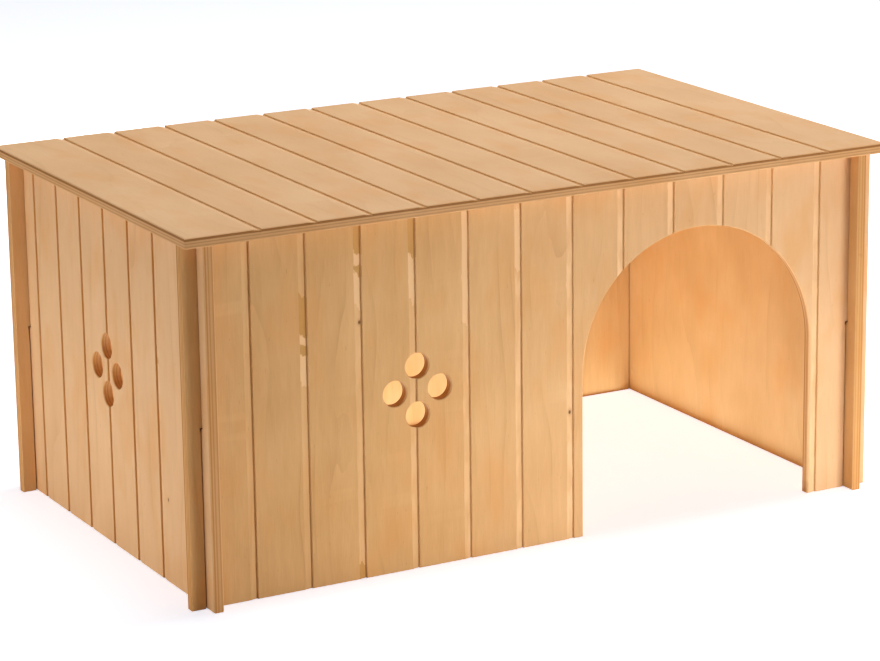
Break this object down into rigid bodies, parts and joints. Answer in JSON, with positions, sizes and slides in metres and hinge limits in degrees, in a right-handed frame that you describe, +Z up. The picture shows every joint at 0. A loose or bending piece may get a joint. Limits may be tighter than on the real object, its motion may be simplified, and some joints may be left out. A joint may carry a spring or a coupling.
{
  "type": "small animal house",
  "caption": "Flat-pack house for a hamster: grooved plywood walls that slot into each other, a loose flat roof, an arched doorway and round air holes.",
  "frame": {"origin": "on the ground, under the middle of the house", "axes": "+Z up, the front with the doorway faces -Y, X along the long side with the doorway towards +X"},
  "size_m": [0.302, 0.183, 0.142],
  "materials": {
    "front_plywood": "satin, clear-lacquered birch plywood, grain upright",
    "back_plywood": "satin, clear-lacquered birch plywood, grain upright",
    "side_plywood": "satin, clear-lacquered birch plywood, grain upright",
    "roof_plywood": "satin, clear-lacquered birch plywood, grain from front to back",
    "batten_wood": "planed softwood, unlacquered"
  },
  "bodies": {
    "side_walls": {"left_wall": "side_plywood", "right_wall": "side_plywood"},
    "front": {"front_wall": "front_plywood"},
    "back": {"back_wall": "back_plywood"},
    "roof": {"roof_panel": "roof_plywood", "left_batten": "batten_wood", "right_batten": "batten_wood"}
  },
  "joints": [
    {"name": "front_wall_lift", "type": "slide", "parent": "side_walls", "child": "front", "axis": [0, 0, 1], "range_m": [0, 0.145]},
    {"name": "back_wall_lift", "type": "slide", "parent": "side_walls", "child": "back", "axis": [0, 0, 1], "range_m": [0, 0.145]},
    {"name": "roof_lift", "type": "slide", "parent": "front", "child": "roof", "axis": [0, 0, 1], "range_m": [0, 0.1]}
  ],
  "couplings": [
    {"joint": "back_wall_lift", "follows": "front_wall_lift", "ratio": 1}
  ]
}
